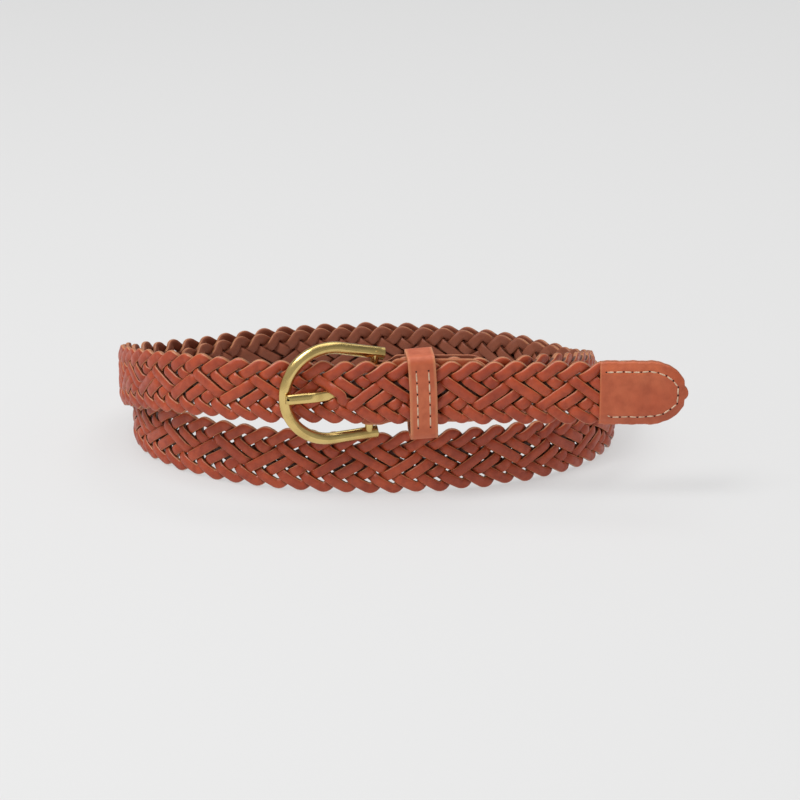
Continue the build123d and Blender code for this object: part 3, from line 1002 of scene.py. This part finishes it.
@dataclass
class Chape:
    """The smooth leather folded round the bar, sewn on the braid's start."""

    leather: bpy.types.Material
    sewing: Sewing
    end_x: float = 45.0
    height: float = 24.4
    fold_height: float = 23.2
    corner: float = 9.0
    inside: float = 1.85
    leaf: float = 1.15
    roll: float = math.radians(4.6)
    slot_half: float = 2.6
    slot_end: float = 7.5
    row_inset: float = 3.2

    def half_height(self, x: float) -> float:
        """Half height of the leaf at a place along it."""
        left = self.end_x - x
        half = self.height / 2
        if left < self.corner:
            return half - self.corner + math.sqrt(max(self.corner ** 2
                                                      - (self.corner - left) ** 2, 0.0))
        return half - (half - self.fold_height / 2) * (1 - smooth((x - 5.0) / 4.0))

    def spot(self, share: float, up: float) -> tuple[Vector, Vector]:
        """A spot of the leather's outer face and the way out of it there.

        Args:
            share: 0 at the front leaf's end, 1 at the back leaf's.
            up: -1 to 1 across the leaf.

        Returns:
            The spot in millimetres and the outward direction.
        """
        radius = self.inside + self.leaf
        straight, fold = self.end_x, math.pi * radius
        run = share * (2 * straight + fold)
        if run < straight:
            x, y, out = straight - run, -radius, Vector((0, -1, 0))
        elif run > straight + fold:
            x, y, out = run - straight - fold, radius, Vector((0, 1, 0))
        else:
            angle = (run - straight) / radius
            x, y = -radius * math.sin(angle), -radius * math.cos(angle)
            out = Vector((-math.sin(angle), -math.cos(angle), 0))
        middle = BAR_HEIGHT + (STRAP_MIDDLE_Z - BAR_HEIGHT) * smooth((x - 4.0) / 5.0)
        z = up * self.half_height(x)
        lean = z * math.sin(self.roll) * (1 - smooth(x / 30.0))
        return Vector((x + lean, INNER_LAP_Y + y, middle + z)), out

    def make_leather(self) -> bpy.types.Object:
        """Fold the leather round the bar and cut the prong's slot in the fold."""
        rings, rows = 150, 24
        bm = rolled_sheet(
            rings, rows, lambda ring, row: placed(self.spot(ring / rings, row / rows * 2 - 1)[0]),
            lambda ring, row: Parts(), closed=False,
        )
        inside_slot = []
        for face in bm.faces:
            spot = face.calc_center_median() / MM - COIL_MIDDLE
            if spot.x < self.slot_end and abs(spot.z - BAR_HEIGHT) < self.slot_half:
                inside_slot.append(face)
        bmesh.ops.delete(bm, geom=inside_slot, context="FACES")
        bmesh.ops.remove_doubles(bm, verts=bm.verts, dist=1e-6)
        bmesh.ops.recalc_face_normals(bm, faces=bm.faces)
        probe = min(bm.faces, key=lambda face: face.calc_center_median().x)
        if probe.normal.x > 0:
            bmesh.ops.reverse_faces(bm, faces=bm.faces)
        outer = set(bm.verts)
        bmesh.ops.solidify(bm, geom=bm.faces[:], thickness=self.leaf * MM)
        layer = bm.verts.layers.float_color["parts"]
        for vert in bm.verts:
            on_edge = any(edge.calc_face_angle(0.0) > 1.0 for edge in vert.link_edges)
            vert[layer] = (0.9 if on_edge and vert in outer else 0.0, 0.0,
                           0.0 if vert in outer else 1.0, 1.0)
        piece = put_out(bm, "chape_leather", Body.STRAP, Slot.SMOOTH, [self.leather], ("chape",))
        soften(piece, 0.25, 2)
        return piece

    def make_row(self, side: int) -> bpy.types.Object:
        """Sew the open row on the front (-1) or the back (1) leaf."""
        y = INNER_LAP_Y + side * (self.inside + self.leaf - 0.02)
        half = self.height / 2 - self.row_inset
        radius = self.corner - self.row_inset
        start, end = 9.5, self.end_x - self.row_inset
        z = STRAP_MIDDLE_Z
        points = [Vector((start, y, z + half))]
        points += arc_points(Vector((end - radius, y, z + half - radius)), radius, 90, 0, y, 8)
        points += arc_points(Vector((end - radius, y, z - half + radius)), radius, 0, -90, y, 8)
        points.append(Vector((start, y, z - half)))
        line, length = polyline(points)
        node = "chape_thread_front" if side < 0 else "chape_thread_back"
        return self.sewing.make_row(f"{node}_stitches", Body.STRAP, node, line, length,
                                    3.2, Vector((0, side, 0)), False)

    def make(self) -> None:
        """Make the leather and both rows."""
        self.make_leather()
        self.make_row(-1)
        self.make_row(1)


def soften(piece: bpy.types.Object, width: float, segments: int) -> None:
    """Round a piece's sharp edges.

    Args:
        piece: The piece.
        width: Width of the rounding in millimetres.
        segments: Steps across it.
    """
    modifier = piece.modifiers.new("rounded_edges", "BEVEL")
    modifier.width = width * MM
    modifier.segments = segments
    modifier.limit_method = "ANGLE"
    modifier.angle_limit = math.radians(40)
    modifier.profile = 0.5


# ------------------------------------------------------------------ keeper


@dataclass
class Keeper:
    """The leather loop that slides on both laps."""

    leather: bpy.types.Material
    sewing: Sewing
    x: float = 18.4
    width: float = 10.2
    wall: float = 1.6
    front: float = -81.65
    back: float = -69.6
    low: float = 27.5
    top: float = 56.7
    corner: float = 3.2
    joint: float = 0.25
    yaw: float = math.radians(5.0)
    lean: float = math.radians(3.5)
    row_offset: float = 2.3

    def turned(self, local: Vector) -> Vector:
        """Turn and place a spot of the keeper's own frame."""
        middle = Vector((self.x, (self.front + self.back) / 2, (self.low + self.top) / 2))
        return middle + self.turn() @ local

    def turn(self) -> Matrix:
        """How the keeper stands on the strap."""
        lean = Matrix.Rotation(-self.lean, 3, "Y")
        return lean @ Matrix.Rotation(self.yaw, 3, "Z")

    def outline(self, grow: float) -> list[Vector]:
        """The loop's section line, grown outwards, from one end of the leather to the other.

        Args:
            grow: Distance outside the inner face.

        Returns:
            Points in the keeper's frame at x 0.
        """
        depth = (self.back - self.front) / 2 + grow
        height = (self.top - self.low) / 2 + grow
        radius = self.corner - self.wall + grow
        corner_steps = 12
        corner_turn = 90 / corner_steps
        front_steps = 16
        corners = [(-1, 1, 90), (-1, -1, 180), (1, -1, 270)]
        points = [Vector((0, depth, self.joint / 2))]
        for step in range(corner_steps + 1):
            points.append(self.corner_spot(depth, height, radius, 1, 1, step * corner_turn))
        for y_sign, z_sign, start in corners:
            if y_sign < 0 and z_sign < 0:
                for step in range(1, front_steps):
                    share = step / front_steps
                    z = (height - radius) * (1 - 2 * share)
                    points.append(Vector((0, -depth, z)))
            for step in range(corner_steps + 1):
                angle = start + step * corner_turn
                points.append(self.corner_spot(depth, height, radius, y_sign, z_sign, angle))
        points.append(Vector((0, depth, -self.joint / 2)))
        return points

    @staticmethod
    def corner_spot(
        depth: float, height: float, radius: float, y_sign: int, z_sign: int, angle: float
    ) -> Vector:
        """A spot on one rounded corner at an angle in degrees from +Y towards +Z."""
        turn = math.radians(angle)
        return Vector((0, y_sign * (depth - radius) + radius * math.cos(turn),
                       z_sign * (height - radius) + radius * math.sin(turn)))

    def bulge(self, local: Vector) -> Vector:
        """Let the front swell a little and the lower end hang slack."""
        half = (self.top - self.low) / 2
        share = max(0.0, 1 - (local.z / half) ** 2)
        swell = 0.45 * share if local.y < 0 else 0.0
        lean = 0.35 * math.sin(local.z * 0.11 + 0.6)
        return local + Vector((lean, -swell, 0))

    def make_leather(self) -> bpy.types.Object:
        """Bend the leather round the strap."""
        line = self.outline(self.wall)
        columns = 8
        bm = rolled_sheet(
            len(line) - 1, columns,
            lambda ring, step: placed(self.turned(self.bulge(
                line[ring] + Vector(((step / columns - 0.5) * self.width, 0, 0))))),
            lambda ring, step: Parts(), closed=False,
        )
        bmesh.ops.recalc_face_normals(bm, faces=bm.faces)
        front = min(bm.faces, key=lambda face: face.calc_center_median().y)
        if front.normal.y > 0:
            bmesh.ops.reverse_faces(bm, faces=bm.faces)
        outer = set(bm.verts)
        bmesh.ops.solidify(bm, geom=bm.faces[:], thickness=self.wall * MM)
        layer = bm.verts.layers.float_color["parts"]
        for vert in bm.verts:
            sharp = any(edge.calc_face_angle(0.0) > 1.0 for edge in vert.link_edges)
            vert[layer] = (0.9 if sharp else 0.0, 0.0, 0.0 if vert in outer else 1.0, 1.0)
        piece = put_out(bm, "keeper_leather", Body.KEEPER, Slot.SMOOTH, [self.leather],
                        ("keeper_loop",))
        soften(piece, 0.32, 3)
        return piece

    def make_row(self, side: int) -> bpy.types.Object:
        """Sew the left (-1) or right (1) row down the front."""
        half = (self.top - self.low) / 2 + self.wall - 1.4
        depth = (self.back - self.front) / 2 + self.wall
        points = []
        for step in range(25):
            z = half * (1 - step / 12)
            tuck = 1.3 * smooth((abs(z) - half + 2.2) / 2.2) ** 2
            local = Vector((side * self.row_offset, -depth + tuck + 0.03, z))
            points.append(self.turned(self.bulge(local)))
        line, length = polyline(points)
        node = "keeper_thread_left" if side < 0 else "keeper_thread_right"
        out = self.turn() @ Vector((0, -1, 0))
        return self.sewing.make_row(f"{node}_stitches", Body.KEEPER, node, line, length,
                                    4.65, out, False)

    def make(self) -> None:
        """Make the loop and both rows."""
        self.make_leather()
        self.make_row(-1)
        self.make_row(1)


# ------------------------------------------------------------------ buckle


@dataclass
class Buckle:
    """The brass horseshoe, its bar and its prong."""

    brass: bpy.types.Material
    side_radius: float = 17.75
    setback: float = 15.8
    taper: float = math.radians(7.9)
    overhang: float = 3.4
    tilt: float = 16.7
    roll: float = 4.6
    section: tuple[tuple[float, float], ...] = (
        (-1.95, 1.0), (-2.2, 0.75), (-2.2, -0.45), (-2.05, -0.75), (-0.28, -2.12),
        (0.28, -2.12), (2.05, -0.75), (2.2, -0.45), (2.2, 0.75), (1.95, 1.0),
    )
    prong_lean: float = 6.16
    prong_reach: float = 34.2
    prong_skew: float = 1.9

    def place(self, local: Vector) -> Vector:
        """Carry a spot of the buckle's frame into the coil's."""
        turn = Matrix.Rotation(math.radians(self.roll), 3, "Y")
        turn = turn @ Matrix.Rotation(math.radians(self.tilt), 3, "Z")
        return turn @ local + Vector((0, INNER_LAP_Y, BAR_HEIGHT))

    def centre_line(self) -> list[tuple[Vector, Vector]]:
        """The frame's centre line with its sideways direction away from the opening."""
        tangent_x = -self.setback + self.side_radius * math.sin(self.taper)
        tangent_z = self.side_radius * math.cos(self.taper)
        run = self.overhang - tangent_x
        line: list[tuple[Vector, Vector]] = []
        aside = Vector((math.sin(self.taper), 0, math.cos(self.taper)))
        for step in range(17):
            share = 1 - step / 16
            x = tangent_x + run * share
            z = tangent_z - run * share * math.tan(self.taper)
            line.append((Vector((x, 0, z)), aside))
        start = math.degrees(math.atan2(aside.z, aside.x))
        for step in range(1, 96):
            angle = math.radians(start + (360 - 2 * start) * step / 96)
            out = Vector((math.cos(angle), 0, math.sin(angle)))
            line.append((Vector((-self.setback, 0, 0)) + out * self.side_radius, out))
        for spot, out in reversed(line[:17]):
            line.append((Vector((spot.x, 0, -spot.z)), Vector((out.x, 0, -out.z))))
        return line

    def make_frame(self) -> bpy.types.Object:
        """Sweep the ridged section round the horseshoe, swelling at the squared leg ends."""
        line = self.centre_line()
        count, rings = len(self.section), len(line) - 1

        def spot(ring: int, step: int) -> Vector:
            """Corner of the section at a ring."""
            middle, out = line[ring]
            a, b = self.section[step % count]
            near_end = smooth((middle.x + 6.0) / 7.0)
            lip = smooth((middle.x - 2.6) / 0.9)
            b = b if b > 0 else b * (1.0 - 0.12 * near_end + 0.20 * lip)
            a = a * (1.0 + 0.04 * near_end + 0.06 * lip)
            return placed(self.place(middle + out * a + Vector((0, b, 0))))

        bm = rolled_sheet(rings, count, spot)
        piece = put_out(bm, "buckle_frame_brass", Body.BUCKLE, Slot.BRASS, [self.brass],
                        ("buckle_frame",))
        soften(piece, 0.22, 3)
        return piece

    def make_prong(self) -> bpy.types.Object:
        """Make the prong: a ring rolled round the bar and a bevelled shank to the frame's ridge."""
        bm = bmesh.new()
        bmesh.ops.create_grid(bm, x_segments=1, y_segments=1, size=0.5)
        for vert in bm.verts:
            vert.co = Vector((1.68 + (vert.co.x + 0.5) * 1.3, 0.0, vert.co.y * 4.2))
        bmesh.ops.spin(bm, geom=bm.verts[:] + bm.edges[:] + bm.faces[:], cent=(0, 0, 0),
                       axis=(0, 0, 1), angle=math.tau, steps=40, use_merge=True)
        flats = [face for face in bm.faces if abs(face.normal.y) > 0.999
                 and all(abs(vert.co.y) < 1e-5 for vert in face.verts)]
        bmesh.ops.delete(bm, geom=flats, context="FACES_ONLY")
        bmesh.ops.remove_doubles(bm, verts=bm.verts, dist=1e-5)
        rings = 44
        section = ((0.0, -1.1), (-1.5, -1.1), (-2.1, -0.5), (-2.1, 0.7), (-1.7, 1.1), (1.7, 1.1),
                   (2.1, 0.7), (2.1, -0.5), (1.5, -1.1))
        count = len(section)

        def shank(ring: int, step: int) -> Vector:
            """Corner of the shank's section, a from the middle plane and b out of its back."""
            share = ring / rings
            x = -2.2 - (self.prong_reach - 2.2) * share
            up, out = section[step % count]
            narrow = 1.0 - 0.10 * smooth((share - 0.3) / 0.7)
            tip = smooth((share - 0.93) / 0.07)
            bevel = smooth((share - 0.66) / 0.05) * (1 - smooth((share - 0.985) / 0.015))
            up *= narrow * (1 - 0.12 * tip)
            if up > 0.9 and out < 0:
                out += 0.75 * bevel
                up -= 0.15 * bevel
            out *= 1 - 0.35 * tip
            dip = 1.3 * math.exp(-((share - 0.42) / 0.16) ** 2)
            turn = Matrix.Rotation(math.radians(-self.prong_skew), 3, "Y")
            return turn @ Vector((x, out + dip, up))

        bar = rolled_sheet(rings, count, shank)
        mesh = bpy.data.meshes.new("shank")
        bar.to_mesh(mesh)
        bar.free()
        bm.from_mesh(mesh)
        bpy.data.meshes.remove(mesh)
        bmesh.ops.recalc_face_normals(bm, faces=bm.faces)
        lean = Matrix.Rotation(math.radians(self.prong_lean), 3, "Z")
        for vert in bm.verts:
            vert.co = placed(self.place(lean @ vert.co))
        piece = put_out(bm, "prong_brass", Body.PRONG, Slot.BRASS, [self.brass], ("prong",))
        soften(piece, 0.22, 2)
        return piece

    def make(self) -> None:
        """Make frame and prong, and polish the CAD bar and staple."""
        self.make_frame()
        self.make_prong()
        for node in ("buckle_bar", "keeper_staple"):
            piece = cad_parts[node]
            piece.data.materials.clear()
            piece.data.materials.append(self.brass)
            LOG.info("%s: CAD node in brass", node)


# ------------------------------------------------------------------ studio


@dataclass
class Studio:
    """Pale floor, soft lights and the camera."""

    elevation: float = 18.0
    distance: float = 1064.0
    target: tuple[float, float, float] = (10.5, 0.0, 14.9)
    lens: float = 119.07

    def make_floor(self) -> None:
        """Lay a wide pale floor."""
        bm = bmesh.new()
        bmesh.ops.create_grid(bm, x_segments=1, y_segments=1, size=12.0)
        mesh = bpy.data.meshes.new("floor")
        bm.to_mesh(mesh)
        bm.free()
        mesh.materials.append(FloorFinish().material())
        floor = bpy.data.objects.new("floor", mesh)
        bpy.context.scene.collection.objects.link(floor)

    def make_light(
        self, name: str, place: tuple[float, float, float], size: float, power: float
    ) -> None:
        """Hang a soft square light that looks at the belt."""
        data = bpy.data.lights.new(name, "AREA")
        data.shape = "SQUARE"
        data.size = size
        data.energy = power
        light = bpy.data.objects.new(name, data)
        light.location = place
        light.rotation_euler = (-Vector(place)).to_track_quat("-Z", "Y").to_euler()
        bpy.context.scene.collection.objects.link(light)

    def make_world(self) -> None:
        """Fill the studio with light that is brighter low down than overhead."""
        world = bpy.data.worlds.new("studio")
        world.use_nodes = True
        tree = world.node_tree
        background = tree.nodes["Background"]
        place = tree.nodes.new("ShaderNodeTexCoord")
        split = tree.nodes.new("ShaderNodeSeparateXYZ")
        ramp = tree.nodes.new("ShaderNodeValToRGB")
        tree.links.new(place.outputs["Generated"], split.inputs[0])
        tree.links.new(split.outputs["Z"], ramp.inputs[0])
        tree.links.new(ramp.outputs[0], background.inputs["Color"])
        ramp.color_ramp.elements[0].position = 0.45
        ramp.color_ramp.elements[0].color = (0.80, 0.80, 0.79, 1)
        ramp.color_ramp.elements[1].position = 0.75
        ramp.color_ramp.elements[1].color = (0.30, 0.30, 0.30, 1)
        background.inputs["Strength"].default_value = 0.55
        bpy.context.scene.world = world

    def make_camera(self) -> None:
        """Set up the camera in front of the buckle."""
        lift = math.radians(self.elevation)
        target = placed(Vector(self.target))
        data = bpy.data.cameras.new("camera")
        data.lens = self.lens
        data.sensor_width = 36.0
        camera = bpy.data.objects.new("camera", data)
        back = Vector((0, -math.cos(lift), math.sin(lift)))
        camera.location = target + back * self.distance * MM
        camera.rotation_euler = Euler((math.pi / 2 - lift, 0, 0))
        bpy.context.scene.collection.objects.link(camera)
        bpy.context.scene.camera = camera

    def make(self) -> None:
        """Make floor, lights, world and camera."""
        self.make_floor()
        self.make_light("key", (-0.85, -0.75, 1.5), 0.7, 20.0)
        self.make_light("top", (0.1, 0.3, 2.4), 2.4, 34.0)
        self.make_world()
        self.make_camera()


def main() -> None:
    """Build the belt piece by piece."""
    logging.basicConfig(level=logging.INFO, format="%(name)s: %(message)s")
    bpy.context.scene.view_settings.view_transform = "Standard"
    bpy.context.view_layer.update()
    braid_leather = LeatherFinish("braid_leather").material()
    smooth_leather = LeatherFinish(
        "smooth_leather", base=(0.50, 0.092, 0.030, 1), light=(0.60, 0.150, 0.058, 1),
        deep=(0.32, 0.050, 0.016, 1), cloud_scale=40.0, roughness=(0.42, 0.6),
    ).material()
    sewing = Sewing(ThreadFinish().material(), HoleShadeFinish().material())
    braid = Braid(CoilPath())
    for strand in range(braid.strands):
        braid.make_strand(strand, braid_leather)
    Chape(smooth_leather, sewing).make()
    Tip(smooth_leather, sewing).make()
    Keeper(smooth_leather, sewing).make()
    Buckle(BrassFinish().material()).make()
    Studio().make()
    bpy.context.view_layer.update()


if __name__ == "__main__":
    main()
